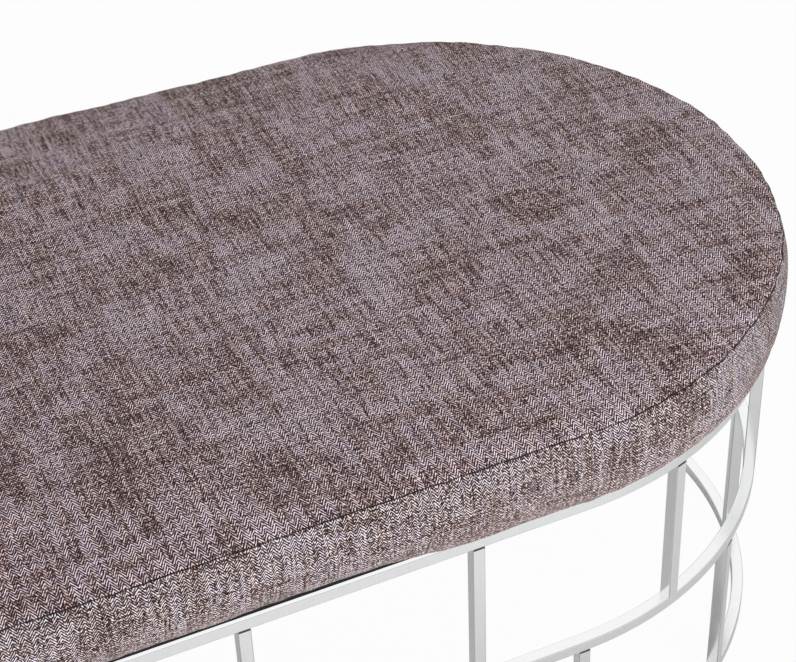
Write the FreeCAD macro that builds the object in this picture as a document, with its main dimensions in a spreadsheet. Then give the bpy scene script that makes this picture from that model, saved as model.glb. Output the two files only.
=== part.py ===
import FreeCAD, Part
import Sketcher
import math
import os

# Upholstered oval bench: a boxed cushion on a cage of square chrome tube.
# Millimetres, +Z up, X along the bench, origin on the floor under its middle.

Vector = FreeCAD.Vector

# Driving dimensions: name, value, what it measures
SIZES = (
    ("frame_half_width", 335, "centre plane to the outer face of the rings"),
    ("straight_length", 650, "straight stretch of each long side of the rings"),
    ("tube_size", 12, "outside of the square tube"),
    ("tube_wall", 1.2, "wall of the square tube"),
    ("tube_corner", 1.2, "outer corner radius of the square tube"),
    ("lower_post_height", 170, "clear height between bottom and middle ring"),
    ("upper_post_height", 167, "clear height between middle ring and top rail"),
    ("joint_groove", 0.7, "bevel round the top of each post, the groove at its joint"),
    ("glide_height", 3, "floor to the underside of the bottom ring"),
    ("glide_diameter", 10, "floor glide"),
    ("glide_edge", 0.8, "bevel round the foot of a glide"),
    ("seat_gap", 6, "top of the rail to the lining under the seat"),
    ("lining_thickness", 1, "lining under the seat"),
    ("lining_setback", 5, "edge of the seat board to the edge of the lining"),
    ("felt_setback", 4, "outer face of the rail to the outer edge of the felt strip"),
    ("felt_width", 10, "felt strip between the rail and the hem of the cover"),
    ("felt_clearance", 0.3, "top of the rail to the felt strip"),
    ("cover_thickness", 1.5, "upholstery fabric with its backing"),
    ("hem_width", 15, "fabric turned in under the seat board"),
    ("board_thickness", 12, "plywood seat board"),
    ("board_setback", 10, "outer face of the rail to the edge of the seat board"),
    ("cushion_overhang", 10, "outer face of the rail to the top seam along the long sides"),
    ("cushion_end_overhang", 5, "outer face of the rail to the top seam at the ends"),
    ("boxing_height", 81, "underside of the hem to the top seam"),
    ("boxing_bulge", 4.5, "how far the boxing stands out past the top seam"),
    ("boxing_tuck", 12, "how far the lower edge of the boxing is drawn in"),
    ("crown_height", 10, "rise of the top panel above its seam"),
    ("foam_clearance", 0.3, "foam to the cover and to the seat board"),
    ("tab_thickness", 3, "steel mounting tab"),
    ("tab_width", 30, "mounting tab along the rail"),
    ("tab_length", 28, "mounting tab inwards from the rail"),
    ("tab_corner", 6, "rounded inner corners of a mounting tab"),
    ("tab_drop", 1.5, "top of the rail to the top of a mounting tab"),
    ("tab_spacing", 240, "middle to middle of neighbouring mounting tabs"),
    ("screw_setback", 16, "inner face of the rail to the axis of a screw"),
    ("screw_diameter", 5, "shank of a seat screw"),
    ("screw_bite", 8, "seat screw inside the seat board"),
    ("pilot_overrun", 2, "pilot hole past the tip of its screw"),
    ("screw_head_diameter", 10, "pan head of a seat screw"),
    ("screw_head_height", 3.2, "pan head of a seat screw"),
    ("screw_head_edge", 1.4, "rounded edge of the pan head"),
    ("screw_clearance", 0.4, "hole radius less shank radius, in tab, spacer and lining"),
    ("pilot_clearance", 0.1, "hole radius less shank radius in the seat board"),
    ("spacer_diameter", 18, "rubber spacer between a tab and the seat"),
    ("cut_overrun", 2, "how far a cut runs past what it cuts"),
)

# Counts
POSTS_PER_SIDE = 3
POSTS_PER_END = 5
GLIDE_COUNT = 8
TABS_PER_SIDE = 3

# Profile of the boxing from the hem up, as shares of its height, of the tuck and of the bulge
BOXING_SHARES = (
    (0.00, 1.00, 0.00),
    (0.04, 0.45, 0.00),
    (0.14, 0.00, 0.35),
    (0.50, 0.00, 1.00),
    (0.85, 0.00, 0.55),
    (1.00, 0.00, 0.00),
)

# Profile of the crown from the seam in, as shares of the half width and of the rise
CROWN_SHARES = (
    (0.00, 0.00),
    (0.16, 0.46),
    (0.32, 0.76),
    (0.48, 0.92),
    (0.64, 1.00),
)

# Places worked out from the sizes, as expressions
TUBE_HALF = "Sizes.tube_size / 2"
BORE_SIZE = "(Sizes.tube_size - 2 * Sizes.tube_wall)"
RING_RADIUS = "(Sizes.frame_half_width - Sizes.tube_size / 2)"
RAIL_INNER_FACE = "(Sizes.frame_half_width - Sizes.tube_size)"
BOTTOM_RING_LEVEL = "Sizes.glide_height"
LOWER_POST_LEVEL = "(Sizes.glide_height + Sizes.tube_size)"
MIDDLE_RING_LEVEL = f"({LOWER_POST_LEVEL} + Sizes.lower_post_height)"
UPPER_POST_LEVEL = f"({MIDDLE_RING_LEVEL} + Sizes.tube_size)"
TOP_RAIL_LEVEL = f"({UPPER_POST_LEVEL} + Sizes.upper_post_height)"
RAIL_TOP = f"({TOP_RAIL_LEVEL} + Sizes.tube_size)"
TAB_TOP = f"({RAIL_TOP} - Sizes.tab_drop)"
TAB_LEVEL = f"({TAB_TOP} - Sizes.tab_thickness)"
FELT_LEVEL = f"({RAIL_TOP} + Sizes.felt_clearance)"
LINING_LEVEL = f"({RAIL_TOP} + Sizes.seat_gap)"
HEM_LEVEL = f"({LINING_LEVEL} + Sizes.lining_thickness)"
BOARD_LEVEL = f"({HEM_LEVEL} + Sizes.cover_thickness)"
SEAM_LEVEL = f"({HEM_LEVEL} + Sizes.boxing_height)"
FOAM_INSET = "(Sizes.cover_thickness + Sizes.foam_clearance)"
BOARD_HALF_WIDTH = "(Sizes.frame_half_width - Sizes.board_setback)"
CUSHION_HALF_WIDTH = "(Sizes.frame_half_width + Sizes.cushion_overhang)"
CUSHION_SHORTFALL = "2 * (Sizes.cushion_overhang - Sizes.cushion_end_overhang)"
CUSHION_STRAIGHT = f"(Sizes.straight_length - {CUSHION_SHORTFALL})"
SCREW_HOLE_DIAMETER = "(Sizes.screw_diameter + 2 * Sizes.screw_clearance)"
PILOT_DIAMETER = "(Sizes.screw_diameter + 2 * Sizes.pilot_clearance)"

document = FreeCAD.newDocument("Bench")
sheet = document.addObject("Spreadsheet::Sheet", "Sizes")
for row, (name, number, meaning) in enumerate(SIZES, start=1):
    sheet.set(f"A{row}", meaning)
    sheet.set(f"B{row}", str(number))
    sheet.setAlias(f"B{row}", name)
document.recompute()

subparts = []


def size(name):
    """Value of a driving dimension."""
    return float(sheet.get(name))


def new_body(label, level="0"):
    """Empty body whose Placement stands at a level of the sheet."""
    body = document.addObject("PartDesign::Body", label)
    body.Label = label
    body.setExpression("Placement.Base.z", level)
    return body


def new_sketch(body, role, name):
    """Empty sketch on one of the body's own origin planes."""
    plane = next(item for item in body.Origin.OriginFeatures if item.Role == role)
    sketch = body.newObject("Sketcher::SketchObject", name)
    sketch.AttachmentSupport = [(plane, "")]
    sketch.MapMode = "FlatFace"
    return sketch


def bind(sketch, constraint, name, expression):
    """Add a measured constraint, name it and tie it to the sheet."""
    index = sketch.addConstraint(constraint)
    sketch.renameConstraint(index, name)
    sketch.setExpression(f"Constraints.{name}", expression)


def add_circle(sketch, name, diameter, centre=None):
    """Circle at the origin, or at a centre given as two named expressions."""
    guess = Vector(0, 0, 0)
    if centre is not None:
        guess = Vector(*(sketch.evalExpression(place) for place in centre), 0)
    circle = sketch.addGeometry(Part.Circle(guess, Vector(0, 0, 1), sketch.evalExpression(diameter) / 2))
    bind(sketch, Sketcher.Constraint("Diameter", circle, sketch.evalExpression(diameter)), name, diameter)
    if centre is None:
        sketch.addConstraint(Sketcher.Constraint("Coincident", circle, 3, -1, 1))
        return
    bind(sketch, Sketcher.Constraint("DistanceX", -1, 1, circle, 3, guess.x), f"{name}_x", centre[0])
    bind(sketch, Sketcher.Constraint("DistanceY", -1, 1, circle, 3, guess.y), f"{name}_y", centre[1])


def add_square(sketch, name, side):
    """Square centred on the sketch's origin."""
    half = sketch.evalExpression(side) / 2
    corners = [Vector(-half, -half), Vector(half, -half), Vector(half, half), Vector(-half, half)]
    lines = [
        sketch.addGeometry(Part.LineSegment(corner, corners[(index + 1) % len(corners)]))
        for index, corner in enumerate(corners)
    ]
    for index, line in enumerate(lines):
        following = lines[(index + 1) % len(lines)]
        sketch.addConstraint(Sketcher.Constraint("Coincident", line, 2, following, 1))
        sketch.addConstraint(Sketcher.Constraint("Vertical" if index % 2 else "Horizontal", line))
    sketch.addConstraint(Sketcher.Constraint("Symmetric", lines[0], 1, lines[2], 1, -1, 1))
    bind(sketch, Sketcher.Constraint("DistanceX", lines[0], 1, lines[0], 2, 2 * half), f"{name}_width", side)
    bind(sketch, Sketcher.Constraint("DistanceY", lines[1], 1, lines[1], 2, 2 * half), f"{name}_height", side)


def add_rounded_square(sketch, name, side, corner):
    """Square with rounded corners, centred on the sketch's origin."""
    half = sketch.evalExpression(side) / 2
    radius = sketch.evalExpression(corner)
    flat = half - radius
    lines = []
    arcs = []
    for quarter in range(4):
        turn = FreeCAD.Rotation(Vector(0, 0, 1), math.degrees(quarter * math.pi / 2))
        line_ends = [turn.multVec(Vector(-flat, -half)), turn.multVec(Vector(flat, -half))]
        lines.append(sketch.addGeometry(Part.LineSegment(*line_ends)))
        circle = Part.Circle(turn.multVec(Vector(flat, -flat)), Vector(0, 0, 1), radius)
        start = (quarter - 1) * math.pi / 2
        arcs.append(sketch.addGeometry(Part.ArcOfCircle(circle, start, start + math.pi / 2)))
    for index, line in enumerate(lines):
        following = lines[(index + 1) % len(lines)]
        sketch.addConstraint(Sketcher.Constraint("Tangent", line, 2, arcs[index], 1))
        sketch.addConstraint(Sketcher.Constraint("Tangent", arcs[index], 2, following, 1))
        sketch.addConstraint(Sketcher.Constraint("Vertical" if index % 2 else "Horizontal", line))
    for arc in arcs[1:]:
        sketch.addConstraint(Sketcher.Constraint("Equal", arcs[0], arc))
    sketch.addConstraint(Sketcher.Constraint("Symmetric", arcs[0], 3, arcs[2], 3, -1, 1))
    bind(sketch, Sketcher.Constraint("Radius", arcs[0], radius), f"{name}_corner", corner)
    bind(sketch, Sketcher.Constraint("DistanceX", lines[3], 1, lines[1], 1, 2 * half), f"{name}_width", side)
    bind(sketch, Sketcher.Constraint("DistanceY", lines[0], 1, lines[2], 1, 2 * half), f"{name}_height", side)


def add_stadium(sketch, half_width, straight):
    """Two straight sides and two round ends, each end as two quarter arcs."""
    radius = sketch.evalExpression(half_width)
    half = sketch.evalExpression(straight) / 2
    back = sketch.addGeometry(Part.LineSegment(Vector(-half, radius), Vector(half, radius)))
    front = sketch.addGeometry(Part.LineSegment(Vector(half, -radius), Vector(-half, -radius)))
    right = Part.Circle(Vector(half, 0), Vector(0, 0, 1), radius)
    left = Part.Circle(Vector(-half, 0), Vector(0, 0, 1), radius)
    quarter = math.pi / 2
    right_back = sketch.addGeometry(Part.ArcOfCircle(right, 0, quarter))
    right_front = sketch.addGeometry(Part.ArcOfCircle(right, -quarter, 0))
    left_front = sketch.addGeometry(Part.ArcOfCircle(left, 2 * quarter, 3 * quarter))
    left_back = sketch.addGeometry(Part.ArcOfCircle(left, quarter, 2 * quarter))
    sketch.addConstraint(Sketcher.Constraint("Tangent", back, 2, right_back, 2))
    sketch.addConstraint(Sketcher.Constraint("Tangent", front, 1, right_front, 1))
    sketch.addConstraint(Sketcher.Constraint("Tangent", front, 2, left_front, 2))
    sketch.addConstraint(Sketcher.Constraint("Tangent", back, 1, left_back, 1))
    for upper, lower in ((right_back, right_front), (left_front, left_back)):
        sketch.addConstraint(Sketcher.Constraint("Coincident", upper, 1, lower, 2))
        sketch.addConstraint(Sketcher.Constraint("Coincident", upper, 3, lower, 3))
        sketch.addConstraint(Sketcher.Constraint("PointOnObject", upper, 1, -1))
    sketch.addConstraint(Sketcher.Constraint("Equal", right_back, left_front))
    sketch.addConstraint(Sketcher.Constraint("PointOnObject", right_back, 3, -1))
    sketch.addConstraint(Sketcher.Constraint("Symmetric", right_back, 3, left_front, 3, -1, 1))
    bind(sketch, Sketcher.Constraint("Radius", right_back, radius), "half_width", half_width)
    centres_apart = Sketcher.Constraint("DistanceX", left_front, 3, right_back, 3, 2 * half)
    bind(sketch, centres_apart, "straight", straight)


def stadium_sketch(body, name, half_width, straight, height="0"):
    """Stadium outline on a level of the body."""
    sketch = new_sketch(body, "XY_Plane", name)
    sketch.setExpression("AttachmentOffset.Base.z", height)
    add_stadium(sketch, half_width, straight)
    return sketch


def pad(body, sketch, length):
    """Pad of a sketch along its normal."""
    feature = body.newObject("PartDesign::Pad", "Pad")
    feature.Profile = sketch
    feature.setExpression("Length", length)
    return feature


def pocket_up(body, sketch, length):
    """Pocket of a sketch upwards into the body, which has to lose volume by it."""
    document.recompute()
    before = body.Shape.Volume
    feature = body.newObject("PartDesign::Pocket", "Pocket")
    feature.Profile = sketch
    feature.Reversed = True
    feature.setExpression("Length", length)
    document.recompute()
    if body.Shape.Volume >= before:
        raise RuntimeError(f"{body.Label}: a pocket cut nothing")
    return feature


def loft(body, kind, sketches):
    """Smooth loft through sketches."""
    feature = body.newObject(f"PartDesign::{kind}", kind)
    feature.Profile = sketches[0]
    feature.Sections = sketches[1:]
    return feature


def edge_names(shape, chosen):
    """Names of the edges that a test picks."""
    return [f"Edge{index}" for index, edge in enumerate(shape.Edges, start=1) if chosen(edge)]


def ease_edges(body, kind, feature, amount, chosen):
    """Fillet or chamfer of the feature's edges that a test picks."""
    document.recompute()
    eased = body.newObject(f"PartDesign::{kind}", kind)
    eased.Base = (feature, edge_names(feature.Shape, chosen))
    eased.setExpression("Radius" if kind == "Fillet" else "Size", amount)
    return eased


def keep(label, item):
    """List a finished object as a sub-part."""
    item.Label = label
    subparts.append(item)


def point_on_ring(distance):
    """Point on the rings' centre line, and its turn, a distance from the middle of the front."""
    half_straight = size("straight_length") / 2
    radius = size("frame_half_width") - size("tube_size") / 2
    bend = math.pi * radius
    half_round = 2 * half_straight + bend
    turns, distance = divmod(distance, half_round)
    if distance < half_straight:
        angle = 0
        point = Vector(distance, -radius)
    elif distance < half_straight + bend:
        angle = (distance - half_straight) / radius
        point = Vector(half_straight + radius * math.sin(angle), -radius * math.cos(angle))
    else:
        angle = math.pi
        point = Vector(2 * half_straight + bend - distance, radius)
    half_turn = FreeCAD.Rotation(Vector(0, 0, 1), math.degrees(math.pi * turns))
    return half_turn.multVec(point), math.degrees(angle + math.pi * turns)


def ring_length():
    """Length of a ring along its centre line."""
    return 2 * size("straight_length") + 2 * math.pi * (size("frame_half_width") - size("tube_size") / 2)


def make_half_ring(label, level, turn):
    """Half a ring: hollow square tube bent to a U, its ends at the middle of the long sides."""
    body = new_body(label, level)
    body.Placement.Rotation = FreeCAD.Rotation(Vector(0, 0, 1), turn)
    half = size("straight_length") / 2
    radius = body.evalExpression(RING_RADIUS)
    path = new_sketch(body, "XY_Plane", f"{label}_path")
    path.setExpression("AttachmentOffset.Base.z", TUBE_HALF)
    front = path.addGeometry(Part.LineSegment(Vector(0, -radius), Vector(half, -radius)))
    circle = Part.Circle(Vector(half, 0), Vector(0, 0, 1), radius)
    bend = path.addGeometry(Part.ArcOfCircle(circle, -math.pi / 2, math.pi / 2))
    back = path.addGeometry(Part.LineSegment(Vector(half, radius), Vector(0, radius)))
    path.addConstraint(Sketcher.Constraint("Tangent", front, 2, bend, 1))
    path.addConstraint(Sketcher.Constraint("Tangent", bend, 2, back, 1))
    path.addConstraint(Sketcher.Constraint("Horizontal", front))
    path.addConstraint(Sketcher.Constraint("Horizontal", back))
    path.addConstraint(Sketcher.Constraint("PointOnObject", front, 1, -2))
    path.addConstraint(Sketcher.Constraint("PointOnObject", back, 2, -2))
    path.addConstraint(Sketcher.Constraint("PointOnObject", bend, 3, -1))
    bind(path, Sketcher.Constraint("Radius", bend, radius), "radius", RING_RADIUS)
    centre_apart = Sketcher.Constraint("DistanceX", -1, 1, bend, 3, half)
    bind(path, centre_apart, "half_straight", "Sizes.straight_length / 2")
    profile = new_sketch(body, "YZ_Plane", f"{label}_profile")
    profile.setExpression("AttachmentOffset.Base.x", f"-{RING_RADIUS}")
    profile.setExpression("AttachmentOffset.Base.y", TUBE_HALF)
    add_rounded_square(profile, "tube", "Sizes.tube_size", "Sizes.tube_corner")
    add_square(profile, "bore", BORE_SIZE)
    pipe = body.newObject("PartDesign::AdditivePipe", "Pipe")
    pipe.Profile = profile
    pipe.Spine = path
    keep(label, body)


def make_post(label, level, height, distance):
    """Hollow square post between two rings, flush with them, grooved at its upper joint."""
    body = new_body(label, level)
    point, turn = point_on_ring(distance)
    body.Placement.Base.x = point.x
    body.Placement.Base.y = point.y
    body.Placement.Rotation = FreeCAD.Rotation(Vector(0, 0, 1), turn)
    section = new_sketch(body, "XY_Plane", f"{label}_section")
    add_rounded_square(section, "tube", "Sizes.tube_size", "Sizes.tube_corner")
    add_square(section, "bore", BORE_SIZE)
    tube = pad(body, section, height)
    middle_height = body.evalExpression(height) / 2
    middle_of_wall = (size("tube_size") - size("tube_wall")) / 2

    def on_outer_top(edge):
        box = edge.BoundBox
        reach = max(abs(box.XMin), abs(box.XMax), abs(box.YMin), abs(box.YMax))
        return box.ZMin > middle_height and reach > middle_of_wall

    ease_edges(body, "Chamfer", tube, "Sizes.joint_groove", on_outer_top)
    keep(label, body)


def screw_places():
    """Plan places of the seat screws as pairs of expressions, front row first."""
    row = f"({RAIL_INNER_FACE} - Sizes.screw_setback)"
    steps = [index - (TABS_PER_SIDE - 1) / 2 for index in range(TABS_PER_SIDE)]
    return [(f"{step} * Sizes.tab_spacing", f"{side} * {row}") for side in (-1, 1) for step in steps]


def make_tab(label, place):
    """Flat steel tab welded to the inner face of the top rail, with a screw hole."""
    body = new_body(label, TAB_LEVEL)
    side = math.copysign(1, body.evalExpression(place[1]))
    body.setExpression("Placement.Base.x", place[0])
    body.setExpression("Placement.Base.y", f"{side} * {RAIL_INNER_FACE}")
    body.Placement.Rotation = FreeCAD.Rotation(Vector(0, 0, 1), 0 if side < 0 else math.degrees(math.pi))
    half = size("tab_width") / 2
    length = size("tab_length")
    outline = new_sketch(body, "XY_Plane", f"{label}_outline")
    corners = [Vector(-half, 0), Vector(half, 0), Vector(half, length), Vector(-half, length)]
    lines = [
        outline.addGeometry(Part.LineSegment(corner, corners[(index + 1) % len(corners)]))
        for index, corner in enumerate(corners)
    ]
    for index, line in enumerate(lines):
        following = lines[(index + 1) % len(lines)]
        outline.addConstraint(Sketcher.Constraint("Coincident", line, 2, following, 1))
        outline.addConstraint(Sketcher.Constraint("Vertical" if index % 2 else "Horizontal", line))
    outline.addConstraint(Sketcher.Constraint("Symmetric", lines[0], 1, lines[0], 2, -1, 1))
    width_apart = Sketcher.Constraint("DistanceX", lines[0], 1, lines[0], 2, 2 * half)
    length_apart = Sketcher.Constraint("DistanceY", lines[1], 1, lines[1], 2, length)
    bind(outline, width_apart, "width", "Sizes.tab_width")
    bind(outline, length_apart, "length", "Sizes.tab_length")
    add_circle(outline, "hole", SCREW_HOLE_DIAMETER, ("0", "Sizes.screw_setback"))
    plate = pad(body, outline, "Sizes.tab_thickness")
    beyond_hole = size("screw_setback") + size("screw_diameter")

    def upright_at_inner_end(edge):
        box = edge.BoundBox
        return box.ZLength > max(box.XLength, box.YLength) and box.YMin > beyond_hole

    ease_edges(body, "Fillet", plate, "Sizes.tab_corner", upright_at_inner_end)
    keep(label, body)


def make_group(label, members):
    """One node that holds a group of identical separate solids."""
    group = document.addObject("Part::Compound", label)
    group.Links = members
    keep(label, group)


def make_spacer(label, place):
    """Rubber ring between a tab and the underside of the seat."""
    body = new_body(label, TAB_TOP)
    body.setExpression("Placement.Base.x", place[0])
    body.setExpression("Placement.Base.y", place[1])
    outline = new_sketch(body, "XY_Plane", f"{label}_outline")
    add_circle(outline, "outside", "Sizes.spacer_diameter")
    add_circle(outline, "hole", SCREW_HOLE_DIAMETER)
    pad(body, outline, "Sizes.tab_drop + Sizes.seat_gap")
    return body


def make_screw(label, place):
    """Pan head screw, head under its tab, shank up into the seat board."""
    body = new_body(label, f"({TAB_LEVEL} - Sizes.screw_head_height)")
    body.setExpression("Placement.Base.x", place[0])
    body.setExpression("Placement.Base.y", place[1])
    head_outline = new_sketch(body, "XY_Plane", f"{label}_head")
    add_circle(head_outline, "head", "Sizes.screw_head_diameter")
    head = pad(body, head_outline, "Sizes.screw_head_height")
    low_edge = size("screw_head_height") / 2
    ease_edges(body, "Fillet", head, "Sizes.screw_head_edge", lambda edge: edge.BoundBox.ZMax < low_edge)
    shank_outline = new_sketch(body, "XY_Plane", f"{label}_shank")
    shank_outline.setExpression("AttachmentOffset.Base.z", "Sizes.screw_head_height")
    add_circle(shank_outline, "shank", "Sizes.screw_diameter")
    pad(body, shank_outline, f"{BOARD_LEVEL} - {TAB_LEVEL} + Sizes.screw_bite")
    return body


def make_glide(label, distance):
    """Plastic button under the bottom ring."""
    body = new_body(label)
    point, turn = point_on_ring(distance)
    body.Placement.Base.x = point.x
    body.Placement.Base.y = point.y
    outline = new_sketch(body, "XY_Plane", f"{label}_outline")
    add_circle(outline, "outside", "Sizes.glide_diameter")
    button = pad(body, outline, "Sizes.glide_height")
    low_edge = size("glide_height") / 2
    ease_edges(body, "Chamfer", button, "Sizes.glide_edge", lambda edge: edge.BoundBox.ZMax < low_edge)
    return body


def boxing_sections(body, name, inset, lift, drop):
    """Stadium sketches up the boxing, moved in by an inset, its foot raised and its head lowered."""
    sketches = []
    for number, (height_share, tuck_share, bulge_share) in enumerate(BOXING_SHARES):
        reach = f"{bulge_share} * Sizes.boxing_bulge - {tuck_share} * Sizes.boxing_tuck"
        half_width = f"{CUSHION_HALF_WIDTH} + {reach} - {inset}"
        height = f"{HEM_LEVEL} + {lift} + {height_share} * (Sizes.boxing_height - {lift} - {drop})"
        section = stadium_sketch(body, f"{name}_{number}", half_width, CUSHION_STRAIGHT, height)
        sketches.append(section)
    return sketches


def crown_sections(body, name, inset, drop):
    """Stadium sketches in over the crown, moved in by an inset and lowered by a drop."""
    sketches = []
    for number, (inset_share, rise_share) in enumerate(CROWN_SHARES):
        half_width = f"({CUSHION_HALF_WIDTH} - {inset}) * (1 - {inset_share})"
        height = f"{SEAM_LEVEL} - {drop} + {rise_share} * Sizes.crown_height"
        section = stadium_sketch(body, f"{name}_{number}", half_width, CUSHION_STRAIGHT, height)
        sketches.append(section)
    return sketches


def make_cover_boxing():
    """Side band of the cover, bulged, curled under at its foot and turned in under the board."""
    body = new_body("cover_boxing")
    thickness = "Sizes.cover_thickness"
    loft(body, "AdditiveLoft", boxing_sections(body, "boxing_outside", "0", "0", "0"))
    loft(body, "SubtractiveLoft", boxing_sections(body, "boxing_inside", thickness, thickness, "0"))
    hem_edge = f"{CUSHION_HALF_WIDTH} - Sizes.boxing_tuck - Sizes.hem_width"
    opening = stadium_sketch(body, "hem_opening", hem_edge, CUSHION_STRAIGHT, HEM_LEVEL)
    pocket_up(body, opening, "Sizes.cover_thickness + Sizes.cut_overrun")
    keep("cover_boxing", body)


def make_cover_top_panel():
    """Crowned top panel of the cover, its rim on the upper edge of the boxing."""
    body = new_body("cover_top_panel")
    loft(body, "AdditiveLoft", crown_sections(body, "crown_outside", "0", "0"))
    loft(body, "SubtractiveLoft", crown_sections(body, "crown_inside", "0", "Sizes.cover_thickness"))
    keep("cover_top_panel", body)


def make_foam_core():
    """Foam that fills the cover and wraps the edge of the seat board."""
    body = new_body("foam_core")
    loft(body, "AdditiveLoft", boxing_sections(body, "foam_side", FOAM_INSET, FOAM_INSET, FOAM_INSET))
    loft(body, "AdditiveLoft", crown_sections(body, "foam_crown", FOAM_INSET, FOAM_INSET))
    recess_edge = f"{BOARD_HALF_WIDTH} + Sizes.foam_clearance"
    foot = f"{HEM_LEVEL} + {FOAM_INSET}"
    recess = stadium_sketch(body, "board_recess", recess_edge, CUSHION_STRAIGHT, foot)
    pocket_up(body, recess, "Sizes.board_thickness")
    keep("foam_core", body)


def make_seat_sheet(label, level, half_width, thickness, hole_diameter, hole_depth):
    """Flat stadium sheet with a hole for each seat screw."""
    body = new_body(label, level)
    pad(body, stadium_sketch(body, f"{label}_outline", half_width, CUSHION_STRAIGHT), thickness)
    holes = new_sketch(body, "XY_Plane", f"{label}_holes")
    for number, place in enumerate(screw_places()):
        add_circle(holes, f"hole_{number}", hole_diameter, place)
    pocket_up(body, holes, hole_depth)
    keep(label, body)


def make_felt_strip():
    """Black felt strip under the hem of the cover, down to just above the rail."""
    body = new_body("felt_strip", FELT_LEVEL)
    outer_edge = "Sizes.frame_half_width - Sizes.felt_setback"
    inner_edge = f"{outer_edge} - Sizes.felt_width"
    height = f"{HEM_LEVEL} - {FELT_LEVEL}"
    pad(body, stadium_sketch(body, "felt_outline", outer_edge, CUSHION_STRAIGHT), height)
    opening = stadium_sketch(body, "felt_opening", inner_edge, CUSHION_STRAIGHT)
    pocket_up(body, opening, f"{height} + Sizes.cut_overrun")
    keep("felt_strip", body)


def make_rings():
    """Top rail, middle ring and bottom ring, each as a left and a right half."""
    levels = {"bottom_ring": BOTTOM_RING_LEVEL, "middle_ring": MIDDLE_RING_LEVEL, "top_rail": TOP_RAIL_LEVEL}
    for ring, level in levels.items():
        make_half_ring(f"{ring}_right", level, 0)
        make_half_ring(f"{ring}_left", level, math.degrees(math.pi))


def post_places(shift_share):
    """Distances round the rings of a tier of posts, evenly spaced on each long side and each end."""
    side = size("straight_length")
    end = ring_length() / 2 - side
    start = -side / 2
    places = []
    for length, count in 2 * ((side, POSTS_PER_SIDE), (end, POSTS_PER_END)):
        places += [start + (number + shift_share) * length / count for number in range(count)]
        start += length
    return places


def make_posts():
    """Two tiers of posts, the upper ones over the middles of the spaces between the lower ones."""
    for number, place in enumerate(post_places(1 / 2), start=1):
        make_post(f"upper_post_{number:02d}", UPPER_POST_LEVEL, "Sizes.upper_post_height", place)
    for number, place in enumerate(post_places(0), start=1):
        make_post(f"lower_post_{number:02d}", LOWER_POST_LEVEL, "Sizes.lower_post_height", place)


def make_fixings():
    """Mounting tabs, and the groups of spacers, screws and glides."""
    places = screw_places()
    for number, place in enumerate(places, start=1):
        make_tab(f"mounting_tab_{number}", place)
    numbered = list(enumerate(places, start=1))
    make_group("seat_spacers", [make_spacer(f"spacer_{number}", place) for number, place in numbered])
    make_group("seat_screws", [make_screw(f"screw_{number}", place) for number, place in numbered])
    space = ring_length() / GLIDE_COUNT
    glides = [make_glide(f"glide_{number + 1}", (number + 1 / 2) * space) for number in range(GLIDE_COUNT)]
    make_group("floor_glides", glides)


def make_seat():
    """Felt strip, lining, seat board, foam and the two panels of the cover."""
    make_felt_strip()
    lining = "Sizes.lining_thickness"
    lining_half_width = f"({BOARD_HALF_WIDTH} - Sizes.lining_setback)"
    hole_depth = f"{lining} + Sizes.cut_overrun"
    make_seat_sheet("dust_cover", LINING_LEVEL, lining_half_width, lining, SCREW_HOLE_DIAMETER, hole_depth)
    board = "Sizes.board_thickness"
    pilot_depth = "Sizes.screw_bite + Sizes.pilot_overrun"
    make_seat_sheet("seat_board", BOARD_LEVEL, BOARD_HALF_WIDTH, board, PILOT_DIAMETER, pilot_depth)
    make_foam_core()
    make_cover_boxing()
    make_cover_top_panel()


make_rings()
make_posts()
make_fixings()
make_seat()
document.recompute()

for item in document.Objects:
    if "Invalid" in item.State or "Error" in item.State:
        raise RuntimeError(f"{item.Label}: {item.State}")
for item in subparts:
    if item.Shape.isNull() or not item.Shape.isValid():
        raise RuntimeError(f"{item.Label}: no valid shape")

os.makedirs("parts", exist_ok=True)
for item in subparts:
    item.Shape.exportStep(f"parts/{item.Label}.step")
    print(item.Label, len(item.Shape.Solids), round(item.Shape.Volume))
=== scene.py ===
import math

import bpy
import numpy as np
from mathutils import Matrix, Vector


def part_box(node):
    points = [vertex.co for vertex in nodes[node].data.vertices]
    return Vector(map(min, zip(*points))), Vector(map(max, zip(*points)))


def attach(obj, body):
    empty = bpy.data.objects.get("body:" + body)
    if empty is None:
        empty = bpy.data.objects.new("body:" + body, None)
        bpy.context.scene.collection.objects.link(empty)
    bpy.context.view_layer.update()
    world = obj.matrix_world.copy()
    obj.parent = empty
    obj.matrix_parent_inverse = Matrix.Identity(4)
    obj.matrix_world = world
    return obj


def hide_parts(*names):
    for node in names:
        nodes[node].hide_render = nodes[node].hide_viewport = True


# Dressed scene of the oval bench: chrome cage, boxed cushion in herringbone cloth, white studio.
# Metres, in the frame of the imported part.

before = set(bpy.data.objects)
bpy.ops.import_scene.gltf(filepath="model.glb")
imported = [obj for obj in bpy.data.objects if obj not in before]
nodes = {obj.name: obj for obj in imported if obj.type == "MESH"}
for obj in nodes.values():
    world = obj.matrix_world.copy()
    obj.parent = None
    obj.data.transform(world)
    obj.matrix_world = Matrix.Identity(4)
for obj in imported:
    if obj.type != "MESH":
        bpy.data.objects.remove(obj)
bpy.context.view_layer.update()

MILLIMETRE = 0.001
NOISE_MEAN_SHARE = 0.5

# Camera fitted to the photograph, with its place in metres
PICTURE_WIDTH_PX = 796
FOCAL_LENGTH_PX = 2061.2
SENSOR_WIDTH_MM = 36.0
CAMERA_PLACE = Vector((-0.3436, -1.4838, 1.6071))
VIEW_AZIMUTH = math.radians(23.212)
VIEW_DIP = math.radians(38.119)
VIEW_ROLL = math.radians(-2.363)

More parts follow.
